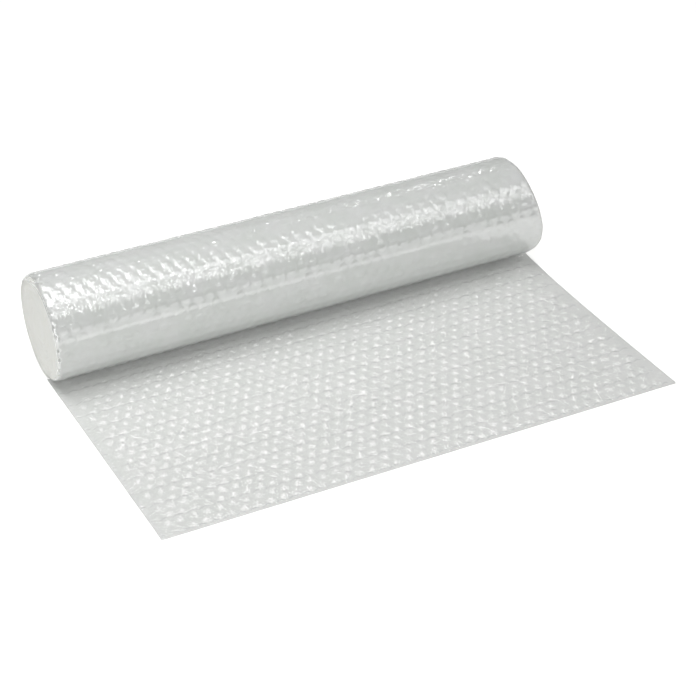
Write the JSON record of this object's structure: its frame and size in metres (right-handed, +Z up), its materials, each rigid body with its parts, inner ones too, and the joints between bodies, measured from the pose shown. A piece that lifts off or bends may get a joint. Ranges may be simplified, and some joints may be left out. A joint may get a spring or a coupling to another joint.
{
  "type": "bubble wrap roll",
  "caption": "Coreless roll of clear air-bubble cushioning film, lying on its side with its free end pulled out flat in front of it, bubbles up.",
  "frame": {"origin": "on the ground under the roll, in the middle of its width", "axes": "+X along the roll's axis, -Y towards the free end, +Z up"},
  "size_m": [0.5, 0.3524, 0.1041],
  "materials": {
    "bubble_film": "clear blown polyethylene film with formed air bubbles, smooth and shiny, pale grey where many layers lie on each other"
  },
  "bodies": {
    "root": {"bubble_wrap": "bubble_film"}
  },
  "joints": []
}
